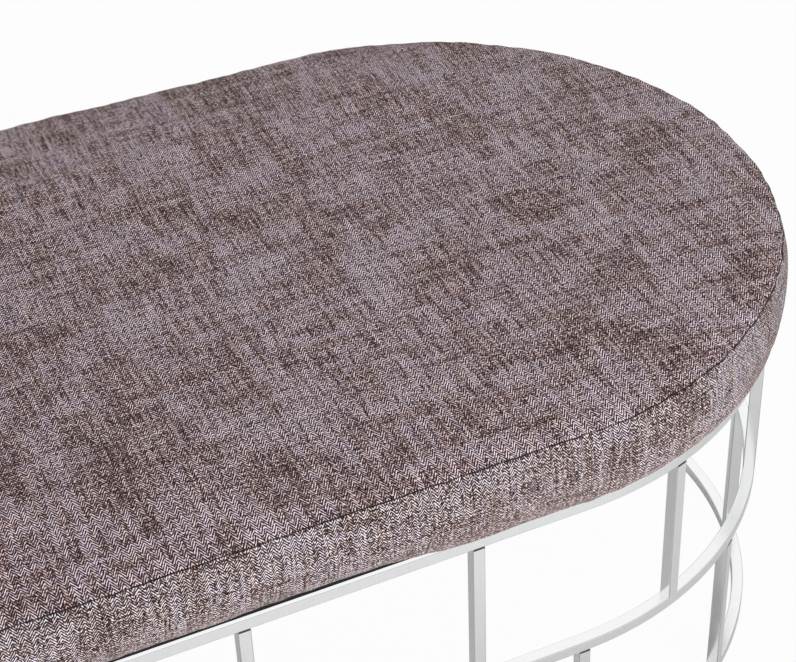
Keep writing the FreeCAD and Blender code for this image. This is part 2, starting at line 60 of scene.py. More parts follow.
# Cushion sizes, read from the frame
top_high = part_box("cover_top_panel")[1]
boxing_low, boxing_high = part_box("cover_boxing")
board_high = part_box("seat_board")[1]
SEAM_RADIUS = top_high.y
HALF_STRAIGHT = top_high.x - top_high.y
HEM_LEVEL = boxing_low.z
SEAM_LEVEL = boxing_high.z
BOXING_HEIGHT = SEAM_LEVEL - HEM_LEVEL
BOXING_BULGE = boxing_high.y - top_high.y
CROWN_HEIGHT = top_high.z - SEAM_LEVEL
BOARD_INSET = SEAM_RADIUS - board_high.y
SEAM_LENGTH = 4 * HALF_STRAIGHT + 2 * math.pi * SEAM_RADIUS

# Cushion sizes of its own
BOXING_TUCK = 12 * MILLIMETRE
HEM_WIDTH = 15 * MILLIMETRE
LIP_SETBACK = 1.3 * MILLIMETRE
CLOTH_THICKNESS = 1.4 * MILLIMETRE
BOARD_CLEARANCE = 0.4 * MILLIMETRE
SEAM_DEPTH = 1.5 * MILLIMETRE
SEAM_REACH = 1.3 * MILLIMETRE
EDGE_ROLL = 1.0 * MILLIMETRE
EDGE_ROLL_REACH = 5 * MILLIMETRE
CROWN_FLAT_SHARE = 0.64
CROWN_POWER = 2.2

# How the stuffed cover lies off its true form: back turned and shifted, foot hanging, edges wavy
BACK_TURN = math.radians(-1.6)
BACK_SHIFT = 6 * MILLIMETRE
FOOT_DROOP = 3.6 * MILLIMETRE
FOOT_OPENING = 1.5 * MILLIMETRE
FOOT_REACH = 20 * MILLIMETRE
FOOT_WAVE = 0.5 * MILLIMETRE
RAISED_FOOT_START = -360 * MILLIMETRE
RAISED_FOOT_STOP = 200 * MILLIMETRE
RAISED_FOOT_EASE = 80 * MILLIMETRE
RAISED_FOOT_TUCK = 5 * MILLIMETRE
SEAM_WAVE = 0.5 * MILLIMETRE
SEAM_WAVE_REACH = 25 * MILLIMETRE
SEAM_PUCKER = 0.5 * MILLIMETRE
SEAM_PUCKER_REACH = 9 * MILLIMETRE
FOOT_PUCKER = 0.4 * MILLIMETRE
FOOT_PUCKER_REACH = 13 * MILLIMETRE
SEED = 11

# Join of the boxing's two lengths, at the right of the front, and again diagonally opposite
JOIN_PLACE = 338 * MILLIMETRE
JOIN_DEPTH = 0.9 * MILLIMETRE
JOIN_REACH = 6 * MILLIMETRE

# Profile of the boxing from its foot up, as shares of its height, of the tuck and of the bulge
BOXING_SHARES = (
    (0.000, 1.00, 0.00),
    (0.016, 0.50, 0.00),
    (0.070, 0.10, 0.00),
    (0.170, 0.00, 0.45),
    (0.400, 0.00, 0.95),
    (0.620, 0.00, 1.00),
    (0.830, 0.00, 0.62),
    (0.950, 0.00, 0.22),
    (1.000, 0.00, 0.00),
)

# Columns of the cushion's mesh
COLUMNS_PER_STRAIGHT = 152
COLUMNS_PER_END = 256


class Graph:
    """Builds the nodes of one tree; an input is a number, a colour or another node's output."""

    def __init__(self, tree):
        self.tree = tree
        tree.nodes.clear()

    def node(self, kind, inputs=None, **settings):
        made = self.tree.nodes.new(kind)
        for name, value in settings.items():
            setattr(made, name, value)
        for socket, value in (inputs or {}).items():
            if isinstance(value, bpy.types.NodeSocket):
                self.tree.links.new(value, made.inputs[socket])
            else:
                made.inputs[socket].default_value = value
        return made

    def math(self, operation, *values):
        inputs = dict(enumerate(values))
        return self.node("ShaderNodeMath", inputs, operation=operation).outputs[0]

    def scaled(self, vector, *factors):
        inputs = {0: vector, 1: factors}
        return self.node("ShaderNodeVectorMath", inputs, operation="MULTIPLY").outputs[0]

    def noise(self, vector, scale, detail, roughness=0.5):
        inputs = {"Vector": vector, "Scale": scale, "Detail": detail, "Roughness": roughness}
        return self.node("ShaderNodeTexNoise", inputs).outputs["Fac"]

    def streaks(self, vector, width, length):
        """Noise about zero, with grains of a width along X and a length along Y."""
        grains = self.scaled(vector, 1 / width, 1 / length, 1)
        return self.math("SUBTRACT", self.noise(grains, 1.0, detail=2.0, roughness=0.6), NOISE_MEAN_SHARE)

    def total(self, start, *parts):
        """A start value plus values with their weights."""
        for value, weight in parts:
            start = self.math("MULTIPLY_ADD", value, weight, start)
        return start

    def spread(self, value, low, high, to_low=0.0, to_high=1.0):
        """Smooth step between two results, as a value goes from low to high."""
        inputs = {"Value": value, "From Min": low, "From Max": high, "To Min": to_low, "To Max": to_high}
        return self.node("ShaderNodeMapRange", inputs, interpolation_type="SMOOTHSTEP").outputs["Result"]

    def mix(self, factor, first, second, blend="MIX"):
        made = self.node("ShaderNodeMix", data_type="RGBA", blend_type=blend)
        colour_sockets = [socket for socket in made.inputs if socket.type == "RGBA"]
        for socket, value in zip([made.inputs["Factor"], *colour_sockets], (factor, first, second)):
            if isinstance(value, bpy.types.NodeSocket):
                self.tree.links.new(value, socket)
            else:
                socket.default_value = value
        return next(socket for socket in made.outputs if socket.type == "RGBA")

    def ramp(self, factor, stops):
        made = self.node("ShaderNodeValToRGB", {"Fac": factor})
        elements = made.color_ramp.elements
        while len(elements) < len(stops):
            elements.new(stops[len(elements) - 1][0])
        for element, (place, colour) in zip(elements, stops):
            element.position = place
            element.color = colour
        return made.outputs["Color"]

    def bump(self, height, distance, strength):
        inputs = {"Height": height, "Distance": distance, "Strength": strength}
        return self.node("ShaderNodeBump", inputs).outputs["Normal"]

    def surface(self, inputs):
        shader = self.node("ShaderNodeBsdfPrincipled", inputs).outputs[0]
        self.node("ShaderNodeOutputMaterial", {"Surface": shader})


def new_material(name):
    """Empty node material and its graph."""
    material = bpy.data.materials.new(name)
    material.use_nodes = True
    return material, Graph(material.node_tree)


# Cloth: chevrons across the bench in pale lilac threads over brown, with slubs and patches
CHEVRON_WIDTH = 4.7 * MILLIMETRE
STRIPE_PITCH = 3.75 * MILLIMETRE
STRIPE_SLOPE = 1.6
BOXING_PITCH_SHARE = 0.79
YARN_WANDER = 0.8 * MILLIMETRE
WANDER_SIZE = 7 * MILLIMETRE
SPECK_SIZE = 2.6 * MILLIMETRE
FIBRE_SIZE = 1.0 * MILLIMETRE
SLUB_WIDTH = 1.8 * MILLIMETRE
SLUB_LENGTH = 45 * MILLIMETRE
BAND_WIDTH = 11 * MILLIMETRE
BAND_LENGTH = 120 * MILLIMETRE
CLOUD_SIZE = 90 * MILLIMETRE
WEAVE_RELIEF = 0.4 * MILLIMETRE
# Painted shade: broken dark lines in the grooves of the seam and of the boxing's joins
SEAM_SHADE_WIDTH = 1.5 * MILLIMETRE
SEAM_SHADE_BREAK = 5 * MILLIMETRE
SEAM_SHADE_NOISE_SHARES = (0.32, 0.54)
SEAM_SHADE_DARK_SHARES = (0.66, 1.0)
JOIN_SHADE_SHARE = 0.7
FOOT_TINT_START = 42 * MILLIMETRE
FOOT_TINT_STOP = 84 * MILLIMETRE
CLOTH_STOPS = (
    (0.00, (0.013, 0.008, 0.009, 1)),
    (0.30, (0.075, 0.049, 0.053, 1)),
    (0.55, (0.215, 0.160, 0.172, 1)),
    (0.80, (0.520, 0.430, 0.455, 1)),
    (1.00, (0.870, 0.775, 0.800, 1)),
)
BROWN_TINT = (1.05, 0.985, 0.93, 1)
LILAC_TINT = (0.96, 0.975, 1.04, 1)
TOP_TINT = (0.985, 0.930, 0.920, 1)
# Painted light on the boxing: darker under the seam and lighter toward the foot, as light bounced up from
# the floor. The foot's tint is partly the cloth's own paler, pinker colour and partly that painted light
BOXING_UPPER_PAINTED_SHADE = (0.865, 0.875, 0.845, 1)
BOXING_LOWER_PAINTED_LIGHT = (1.09, 1.10, 1.085, 1)
FOOT_TINT_AND_PAINTED_LIGHT = (0.40, 0.315, 0.300, 1)
FOOT_TINT_AND_LIGHT_SHARE = 0.25
FOOT_LILAC_SHARE = 0.3
LILAC_PATCH_SHARES = (-0.15, 0.15)

# What each part of the cloth adds to its tone, which goes from dark at 0 to pale at 1
TONE_SHARE = 0.33
STRIPE_PATCH_SHARES = (-0.2, 0.15)
STRIPE_SHARES = (0.65, 1.0)
STRIPE_FOOT_LOSS_SHARE = 0.25
THREAD_LEAST_SHARE = 0.40
THREAD_RANDOM_SHARE = 0.55
BOXING_SPECK_SHARE = 3.4
TOP_SPECK_SHARE = 2.4
FIBRE_SHARE = 1.6
WARP_SHARE = 1.3
WEFT_SHARE = 1.0
SLUB_NOISE_SHARES = (-0.26, -0.16)
SLUB_SHARE = -0.25
PATCH_SHARE = 0.42
PATCH_PART_SHARE = 0.8
STRIPE_RELIEF_SHARE = 0.25
WEAVE_BUMP_SHARE = 0.5


def make_stripe(graph, place):
    """Herringbone stripe from -1 to 1, and a random number for each short run of thread.

    The wander's colours go from 0 to 1, so the yarn strays by up to its wander to either side.
    """
    wander = graph.node("ShaderNodeTexNoise", {"Vector": place, "Scale": 1 / WANDER_SIZE, "Detail": 1.0})
    shifted = graph.node(
        "ShaderNodeVectorMath",
        {0: wander.outputs["Color"], 1: (2 * YARN_WANDER,) * 3, 2: place},
        operation="MULTIPLY_ADD",
    ).outputs[0]
    axes = graph.node("ShaderNodeSeparateXYZ", {0: shifted}).outputs
    fold = graph.math("PINGPONG", axes["X"], CHEVRON_WIDTH)
    climb = graph.math("MULTIPLY_ADD", fold, STRIPE_SLOPE, axes["Y"])
    turns = graph.math("DIVIDE", climb, STRIPE_PITCH)
    stripe = graph.math("SINE", graph.math("MULTIPLY", turns, 2 * math.pi))
    column = graph.math("FLOOR", graph.math("DIVIDE", axes["X"], CHEVRON_WIDTH))
    key = graph.node("ShaderNodeCombineXYZ", {0: graph.math("FLOOR", turns), 1: column}).outputs[0]
    thread = graph.node("ShaderNodeTexWhiteNoise", {"Vector": key}, noise_dimensions="2D").outputs["Value"]
    return stripe, thread


def make_seam_shade_line(graph, place, distance):
    """Painted shade: broken dark lines along the top seam and the two joins of the boxing, where shade
    falls in their grooves.
    """
    along = graph.node("ShaderNodeSeparateXYZ", {0: place}).outputs["X"]
    past_join = graph.math("SUBTRACT", along, JOIN_PLACE)
    from_join = graph.math("PINGPONG", past_join, SEAM_LENGTH / 4)
    # The top panel has no join, so there the distance from it is a metre longer
    from_join = graph.math("ADD", from_join, graph.math("GREATER_THAN", distance, 0.0))
    join = graph.spread(from_join, 0.0, SEAM_SHADE_WIDTH, JOIN_SHADE_SHARE, 0.0)
    seam = graph.spread(graph.math("ABSOLUTE", distance), SEAM_SHADE_WIDTH / 2, SEAM_SHADE_WIDTH, 1.0, 0.0)
    line = graph.math("MAXIMUM", seam, join)
    breaks = graph.noise(place, 1 / SEAM_SHADE_BREAK, detail=1.0)
    gaps = graph.spread(breaks, *SEAM_SHADE_NOISE_SHARES, *SEAM_SHADE_DARK_SHARES)
    return graph.math("MULTIPLY", line, gaps)


def make_patches(graph, place):
    """Cross-hatched streaks and clouds about zero, brown below it and lilac above."""
    sizes = ((BAND_WIDTH, BAND_LENGTH), (BAND_LENGTH, BAND_WIDTH), (CLOUD_SIZE, CLOUD_SIZE))
    parts = [(graph.streaks(place, width, length), PATCH_PART_SHARE) for width, length in sizes]
    return graph.total(0.0, *parts)


def make_cloth_material():
    """Chenille herringbone: striped threads, specks, dark slubs, and brown and lilac patches."""
    material, graph = new_material("herringbone_cloth")
    place = graph.node("ShaderNodeUVMap", uv_map="weave").outputs["UV"]
    distance = graph.node("ShaderNodeAttribute", attribute_name="seam_distance").outputs["Fac"]
    foot = graph.spread(distance, -FOOT_TINT_START, -FOOT_TINT_STOP)
    stripe, thread = make_stripe(graph, place)
    speck = graph.streaks(place, SPECK_SIZE, SPECK_SIZE)
    speck_weight = graph.spread(distance, -SPECK_SIZE, 0.0, BOXING_SPECK_SHARE, TOP_SPECK_SHARE)
    fibre = graph.streaks(place, FIBRE_SIZE, FIBRE_SIZE)
    warp = graph.streaks(place, SLUB_WIDTH, SLUB_LENGTH)
    weft = graph.streaks(place, SLUB_LENGTH, SLUB_WIDTH)
    slub = graph.spread(graph.math("MINIMUM", warp, weft), *SLUB_NOISE_SHARES, SLUB_SHARE, 0.0)
    patch = make_patches(graph, place)
    presence = graph.spread(patch, *STRIPE_PATCH_SHARES, *STRIPE_SHARES)
    kept = graph.math("MULTIPLY_ADD", foot, -STRIPE_FOOT_LOSS_SHARE, 1.0)
    thread = graph.math("MULTIPLY_ADD", thread, THREAD_RANDOM_SHARE, THREAD_LEAST_SHARE)
    weight = graph.math("MULTIPLY", graph.math("MULTIPLY", presence, kept), thread)
    tone = graph.total(
        TONE_SHARE,
        (stripe, weight),
        (speck, speck_weight),
        (fibre, FIBRE_SHARE),
        (warp, WARP_SHARE),
        (weft, WEFT_SHARE),
        (slub, 1.0),
        (patch, PATCH_SHARE),
    )
    colour = graph.ramp(tone, CLOTH_STOPS)
    lilac = graph.spread(patch, *LILAC_PATCH_SHARES)
    lilac = graph.math("MULTIPLY", lilac, graph.spread(foot, 0.0, 1.0, 1.0, FOOT_LILAC_SHARE))
    tint = graph.mix(lilac, BROWN_TINT, LILAC_TINT)
    colour = graph.mix(1.0, colour, tint, "MULTIPLY")
    # Painted light: the boxing darker under the seam and lighter toward the foot
    upper = graph.spread(distance, -FOOT_TINT_STOP, 0.0)
    boxing_painted_light = graph.mix(upper, BOXING_LOWER_PAINTED_LIGHT, BOXING_UPPER_PAINTED_SHADE)
    on_top = graph.math("GREATER_THAN", distance, 0.0)
    panel_tint_and_painted_light = graph.mix(on_top, boxing_painted_light, TOP_TINT)
    colour = graph.mix(1.0, colour, panel_tint_and_painted_light, "MULTIPLY")
    # Paler, pinker foot: partly the cloth's own colour, partly painted light from the floor
    colour = graph.mix(graph.math("MULTIPLY", foot, FOOT_TINT_AND_LIGHT_SHARE), colour, FOOT_TINT_AND_PAINTED_LIGHT)
    # Painted shade along the seam and the boxing's joins
    colour = graph.mix(make_seam_shade_line(graph, place, distance), colour, CLOTH_STOPS[0][1])
    relief = graph.total(0.0, (stripe, STRIPE_RELIEF_SHARE), (speck, 1.0), (fibre, 1.0))
    graph.surface({
        "Base Color": colour,
        "Roughness": 0.92,
        "Specular IOR Level": 0.12,
        "Sheen Weight": 0.06,
        "Sheen Roughness": 0.5,
        "Normal": graph.bump(relief, WEAVE_RELIEF, WEAVE_BUMP_SHARE),
    })
    return material


# Metals, rubber, plastic, wood, lining and felt
HAZE_SHARES = (0.3, 0.7)
POLISH_SIZE = 30 * MILLIMETRE
BRUSH_WIDTH = 0.6 * MILLIMETRE
BRUSH_LENGTH = 60 * MILLIMETRE
CHROME_STOPS = ((0.35, (0.89, 0.895, 0.90, 1)), (0.65, (0.93, 0.935, 0.94, 1)))
# Painted shade: a dark line on each post just under its joint with the ring above
JOINT_SHADE_LINE = 1.7 * MILLIMETRE
JOINT_SHADE_COLOUR = (0.03, 0.03, 0.03, 1)
FACING_SHARE = 0.6
# Painted reflection: the tube's rounded edges darker
EDGE_REFLECTION_SHARES = (0.90, 0.99)
PAINTED_EDGE_REFLECTION_COLOUR = (0.64, 0.64, 0.65, 1)
CHROME_ROUGHNESS_SHARES = (0.16, 0.24)


def make_facings(graph, place):
    """How squarely a face of the tube looks outwards, along the rings and up, each from -1 to 1."""
    axes = graph.node("ShaderNodeSeparateXYZ", {0: place}).outputs
    spine = graph.math("MAXIMUM", graph.math("MINIMUM", axes["X"], HALF_STRAIGHT), -HALF_STRAIGHT)
    sideways = graph.math("SUBTRACT", axes["X"], spine)
    across = graph.node("ShaderNodeCombineXYZ", {0: sideways, 1: axes["Y"]}).outputs[0]
    up = (0, 0, 1)
    outward = graph.node("ShaderNodeVectorMath", {0: across}, operation="NORMALIZE").outputs[0]
    along = graph.node("ShaderNodeVectorMath", {0: outward, 1: up}, operation="CROSS_PRODUCT").outputs[0]
    normal = graph.node("ShaderNodeNewGeometry").outputs["True Normal"]
    facings = []
    for direction in (outward, along, up):
        inputs = {0: normal, 1: direction}
        facings.append(graph.node("ShaderNodeVectorMath", inputs, operation="DOT_PRODUCT").outputs["Value"])
    return facings


def make_joint_shade_mask(graph, place, outward_facing):
    """One on the outer face of a post, close under its top, where the shade in the joint is painted as a
    dark line.
    """
    height = graph.node("ShaderNodeSeparateXYZ", {0: place}).outputs["Z"]
    tops = [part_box(post)[1].z for post in ("upper_post_01", "lower_post_01")]
    half_line = JOINT_SHADE_LINE / 2
    near_tops = [graph.math("COMPARE", height, top - half_line, half_line) for top in tops]
    outer = graph.math("GREATER_THAN", outward_facing, FACING_SHARE)
    return graph.math("MULTIPLY", graph.math("ADD", *near_tops), outer)


def make_painted_edge_reflection_mask(graph, facings):
    """One on the rounded edges of the tube, where a dark reflection is painted, nought on its flat faces.
    """
    sizes = [graph.math("ABSOLUTE", facing) for facing in facings]
    squarest = graph.math("MAXIMUM", graph.math("MAXIMUM", sizes[0], sizes[1]), sizes[2])
    return graph.spread(squarest, *EDGE_REFLECTION_SHARES, 1.0, 0.0)


def make_chrome_material(name, joint_shaded=False):
    """Satin chrome plate, with painted dark reflections on the rounded edges, and on posts a painted shade
    line under the upper joint.
    """
    material, graph = new_material(name)
    place = graph.node("ShaderNodeTexCoord").outputs["Object"]
    haze = graph.noise(place, 1 / POLISH_SIZE, detail=3.0, roughness=0.6)
    grain = graph.scaled(place, 1 / BRUSH_WIDTH, 1 / BRUSH_WIDTH, 1 / BRUSH_LENGTH)
    brush = graph.noise(grain, 1.0, detail=2.0, roughness=0.6)
    facings = make_facings(graph, place)
    colour = graph.ramp(brush, CHROME_STOPS)
    # Painted reflection: dark lines on the rounded edges
    colour = graph.mix(make_painted_edge_reflection_mask(graph, facings), colour, PAINTED_EDGE_REFLECTION_COLOUR)
    metal = 1.0
    if joint_shaded:
        # Painted shade: a dark band under the post's top, where the joint lies in shade
        mask = make_joint_shade_mask(graph, place, facings[0])
        colour = graph.mix(mask, colour, JOINT_SHADE_COLOUR)
        metal = graph.math("SUBTRACT", 1.0, mask)
    graph.surface({
        "Base Color": colour,
        "Metallic": metal,
        "Roughness": graph.spread(haze, *HAZE_SHARES, *CHROME_ROUGHNESS_SHARES),
    })
    return material


LINING_FIBRE = 1.2 * MILLIMETRE
LINING_RELIEF = 0.3 * MILLIMETRE
LINING_BUMP_SHARE = 0.5
LINING_STOPS = ((0.35, (0.72, 0.72, 0.70, 1)), (0.75, (0.84, 0.84, 0.82, 1)))
# Painted shade: the felt between seat and rail is near black, standing in for the shadow in that gap
FELT_GAP_SHADE_STOPS = ((0.35, (0.008, 0.008, 0.009, 1)), (0.75, (0.030, 0.030, 0.032, 1)))


def make_fibre_material(name, stops):
    """Matt non-woven cloth or felt."""
    material, graph = new_material(name)
    place = graph.node("ShaderNodeTexCoord").outputs["Object"]
    fibre = graph.noise(place, 1 / LINING_FIBRE, detail=3.0, roughness=0.7)
    graph.surface({
        "Base Color": graph.ramp(fibre, stops),
        "Roughness": 0.95,
        "Specular IOR Level": 0.1,
        "Normal": graph.bump(fibre, LINING_RELIEF, LINING_BUMP_SHARE),
    })
    return material


PLY_GRAIN = 4 * MILLIMETRE
PLY_STRETCH_SHARE = 0.04
PLY_RELIEF = 0.2 * MILLIMETRE
PLY_BUMP_SHARE = 0.4
PLY_STOPS = ((0.30, (0.42, 0.29, 0.16, 1)), (0.70, (0.62, 0.47, 0.30, 1)))


def make_plywood_material():
    """Raw plywood with its grain along the bench."""
    material, graph = new_material("raw_plywood")
    place = graph.node("ShaderNodeTexCoord").outputs["Object"]
    stretched = graph.scaled(place, PLY_STRETCH_SHARE, 1, 1)
    grain = graph.noise(stretched, 1 / PLY_GRAIN, detail=4.0, roughness=0.6)
    graph.surface({
        "Base Color": graph.ramp(grain, PLY_STOPS),
        "Roughness": 0.8,
        "Normal": graph.bump(grain, PLY_RELIEF, PLY_BUMP_SHARE),
    })
    return material


MOULD_GRAIN = 0.4 * MILLIMETRE
MOULD_RELIEF = 0.05 * MILLIMETRE
MOULD_BUMP_SHARE = 0.4


def make_moulded_material(name, stops, roughness):
    """Rubber or plastic with a fine moulded grain."""
    material, graph = new_material(name)
    place = graph.node("ShaderNodeTexCoord").outputs["Object"]
    grain = graph.noise(place, 1 / MOULD_GRAIN, detail=2.0, roughness=0.6)
    graph.surface({
        "Base Color": graph.ramp(grain, stops),
        "Roughness": roughness,
        "Normal": graph.bump(grain, MOULD_RELIEF, MOULD_BUMP_SHARE),
    })
    return material


RUBBER_STOPS = ((0.3, (0.018, 0.018, 0.019, 1)), (0.7, (0.036, 0.036, 0.038, 1)))
GLIDE_STOPS = ((0.3, (0.035, 0.035, 0.036, 1)), (0.7, (0.060, 0.060, 0.062, 1)))
ZINC_SPANGLE = 2.5 * MILLIMETRE
ZINC_ROUGHNESS_SHARES = (0.25, 0.40)
ZINC_STOPS = ((0.3, (0.46, 0.46, 0.47, 1)), (0.7, (0.64, 0.64, 0.62, 1)))


def make_zinc_material():
    """Zinc plate with a soft spangle."""
    material, graph = new_material("zinc_plate")
    place = graph.node("ShaderNodeTexCoord").outputs["Object"]
    spangle = graph.noise(place, 1 / ZINC_SPANGLE, detail=2.0, roughness=0.6)
    graph.surface({
        "Base Color": graph.ramp(spangle, ZINC_STOPS),
        "Metallic": 1.0,
        "Roughness": graph.spread(spangle, *HAZE_SHARES, *ZINC_ROUGHNESS_SHARES),
    })
    return material


def dress_frame():
    """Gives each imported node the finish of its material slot."""
    finishes = {
        "chrome_tube": make_chrome_material("satin_chrome"),
        "lining": make_fibre_material("pale_lining", LINING_STOPS),
        # Near-black felt: painted shade of the gap between the cushion and the rail
        "black_felt": make_fibre_material("felt_painted_gap_shade", FELT_GAP_SHADE_STOPS),
        "plywood": make_plywood_material(),
        "black_rubber": make_moulded_material("moulded_rubber", RUBBER_STOPS, roughness=0.75),
        "glide_plastic": make_moulded_material("moulded_nylon", GLIDE_STOPS, roughness=0.45),
        "zinc_steel": make_zinc_material(),
    }
    post_finish = make_chrome_material("satin_chrome_post", joint_shaded=True)
    for name, item in nodes.items():
        for holder in item.material_slots:
            if holder.material.name in finishes:
                holder.material = post_finish if "_post_" in name else finishes[holder.material.name]


def seam_outline():
    """Columns round the seam from the middle of the back, over the left end: spine, outward, length."""
    step = 2 * HALF_STRAIGHT / COLUMNS_PER_STRAIGHT
    half_columns = COLUMNS_PER_STRAIGHT // 2
    back_left = [((-step * number, 0.0), (0.0, 1.0)) for number in range(half_columns)]
    turns = [math.pi * number / COLUMNS_PER_END for number in range(COLUMNS_PER_END)]
    left = [((-HALF_STRAIGHT, 0.0), (-math.sin(turn), math.cos(turn))) for turn in turns]
    front = [((step * number - HALF_STRAIGHT, 0.0), (0.0, -1.0)) for number in range(COLUMNS_PER_STRAIGHT)]
    right = [((HALF_STRAIGHT, 0.0), (math.sin(turn), -math.cos(turn))) for turn in turns]
    back_right = [((HALF_STRAIGHT - step * number, 0.0), (0.0, 1.0)) for number in range(half_columns)]
    columns = back_left + left + front + right + back_right
    spine = np.array([spine_place for spine_place, outward in columns])
    outward = np.array([outward for spine_place, outward in columns])
    places = spine + SEAM_RADIUS * outward
    steps = np.linalg.norm(np.roll(places, -1, axis=0) - places, axis=1)
    lengths = np.concatenate(([0.0], np.cumsum(steps)))
    return spine, outward, lengths - lengths[-1] / 2


PATH_STEPS = 6


def smooth_path(points):
    """Points of a Catmull-Rom curve through a few points."""
    points = np.array(points)
    before = np.vstack((2 * points[0] - points[1], points[:-2]))
    ends = np.vstack((points[2:], 2 * points[-1] - points[-2]))
    path = []
    for first, start, stop, last in zip(before, points[:-1], points[1:], ends):
        for part in np.arange(PATH_STEPS) / PATH_STEPS:
            path.append(
                start
                + part / 2 * (stop - first)
                + part**2 / 2 * (2 * first - 5 * start + 4 * stop - last)
                + part**3 / 2 * (3 * start - first - 3 * stop + last)
            )
    path.append(points[-1])
    return np.array(path)


def boxing_profile():
    """Reach past the seam outline and height, from the foot of the boxing to the seam."""
    points = []
    for height_share, tuck_share, bulge_share in BOXING_SHARES:
        reach = bulge_share * BOXING_BULGE - tuck_share * BOXING_TUCK
        points.append((reach, HEM_LEVEL + height_share * BOXING_HEIGHT))
    return smooth_path(points)


def crown_profile(inset):
    """Height of the top panel at an inset from the seam."""
    share = np.minimum(inset / (CROWN_FLAT_SHARE * SEAM_RADIUS), 1)
    roll = EDGE_ROLL * (1 - np.exp(-inset / EDGE_ROLL_REACH))
    return SEAM_LEVEL + (CROWN_HEIGHT - EDGE_ROLL) * (1 - (1 - share) ** CROWN_POWER) + roll


TOP_INSETS_MM = (
    0.8, 1.8, 3.2, 5, 7.5, 10.5, 14, 18, 23, 29, 36, 44, 53, 63, 74, 86, 99, 113, 128, 144,
    161, 179, 198, 218, 239, 261, 284, 308, 330,
)


def cushion_profile():
    """Rows of the cushion, from the board's recess round the hem, up the boxing and over the top.

    Gives each row's reach past the seam outline and height, each row's distance from the seam,
    positive on the top panel, and the numbers of the foot's and the seam's rows.
    """
    boxing = boxing_profile()
    steps = np.linalg.norm(np.diff(boxing, axis=0), axis=1)
    below_seam = np.append(np.cumsum(steps[::-1])[::-1], 0)
    boxing[:, 0] -= SEAM_DEPTH * np.exp(-((below_seam / SEAM_REACH) ** 2))
    recess_edge = BOARD_CLEARANCE - BOARD_INSET
    hem_edge = -BOXING_TUCK - HEM_WIDTH
    under = np.array((
        (recess_edge, board_high.z + BOARD_CLEARANCE),
        (recess_edge, HEM_LEVEL + CLOTH_THICKNESS),
        (hem_edge, HEM_LEVEL + CLOTH_THICKNESS),
        (hem_edge, HEM_LEVEL),
        (-BOXING_TUCK - LIP_SETBACK, HEM_LEVEL),
    ))
    insets = np.array(TOP_INSETS_MM) * MILLIMETRE
    heights = crown_profile(insets) - SEAM_DEPTH * np.exp(-((insets / SEAM_REACH) ** 2))
    profile = np.vstack((under, boxing, np.column_stack((-insets, heights))))
    under_distance = -below_seam[0] - HEM_WIDTH * np.arange(len(under), 0, -1)
    distance = np.concatenate((under_distance, -below_seam, insets))
    foot_row = len(under)
    return profile, distance, foot_row, foot_row + len(boxing) - 1


def ease(values, low, high):
    """Smooth step from 0 to 1."""
    share = np.clip((values - low) / (high - low), 0, 1)
    return share * share * (3 - 2 * share)


def ripple(turns, waves, generator):
    """Wavy line round the cushion, about one high: whole numbers of waves with random phases."""
    phases = generator.uniform(0, 2 * math.pi, len(waves))
    lines = [np.sin(2 * math.pi * wave * turns + phase) for wave, phase in zip(waves, phases)]
    return np.sum(lines, axis=0) * math.sqrt(2 / len(waves))


# Waves in one turn round the cushion
SEAM_WAVES = (5, 9, 14, 23, 31)
FOOT_WAVES = (11, 17, 29, 41)
PUCKER_WAVES = (61, 83, 97, 118, 143, 167)


def settle_cover(places, outward, lengths, distance, foot_row):
    """Moves the true form to how the stuffed cover lies: leaning, hanging, wavy and puckered."""
    generator = np.random.default_rng(SEED)
    along = lengths[:-1]
    turns = along / SEAM_LENGTH
    cover = places[foot_row:]
    reach = distance[foot_row:, None]
    above_foot = reach - reach[0]
    near_foot = np.exp(-((above_foot / FOOT_REACH) ** 2))
    near_seam = np.exp(-((reach / SEAM_WAVE_REACH) ** 2))
    raised_from = ease(along, RAISED_FOOT_START, RAISED_FOOT_START + RAISED_FOOT_EASE)
    raised_to = ease(along, RAISED_FOOT_STOP - RAISED_FOOT_EASE, RAISED_FOOT_STOP)
    raised = raised_from * (1 - raised_to)
    quarter = SEAM_LENGTH / 4
    from_join = np.abs((along - JOIN_PLACE + quarter) % (2 * quarter) - quarter)
    join = np.exp(-((from_join / JOIN_REACH) ** 2)) * (reach < 0)
    lean = ease(cover[:, :, 2], HEM_LEVEL, SEAM_LEVEL) * ease(cover[:, :, 1], 0, SEAM_RADIUS)
    turned_x = math.cos(BACK_TURN) * cover[:, :, 0] - math.sin(BACK_TURN) * cover[:, :, 1]
    turned_y = math.sin(BACK_TURN) * cover[:, :, 0] + math.cos(BACK_TURN) * cover[:, :, 1]
    out = near_seam * SEAM_WAVE * ripple(turns, SEAM_WAVES, generator)
    out += np.exp(-np.abs(reach) / SEAM_PUCKER_REACH) * SEAM_PUCKER * ripple(turns, PUCKER_WAVES, generator)
    out += np.exp(-above_foot / FOOT_PUCKER_REACH) * FOOT_PUCKER * ripple(turns, PUCKER_WAVES, generator)
    out += near_foot * ((1 - raised) * FOOT_OPENING - raised * RAISED_FOOT_TUCK) - join * JOIN_DEPTH
    lift = near_seam * SEAM_WAVE / 2 * ripple(turns, SEAM_WAVES, generator)
    lift -= near_foot * ((1 - raised) * FOOT_DROOP + FOOT_WAVE * ripple(turns, FOOT_WAVES, generator))
    shift_x = lean * (turned_x - cover[:, :, 0])
    shift_y = lean * (turned_y - cover[:, :, 1] + BACK_SHIFT)
    cover[:, :, 0] += shift_x + out * outward[:, 0]
    cover[:, :, 1] += shift_y + out * outward[:, 1]
    cover[:, :, 2] += lift
    places[foot_row - 1, :, :2] -= raised[:, None] * RAISED_FOOT_TUCK * outward


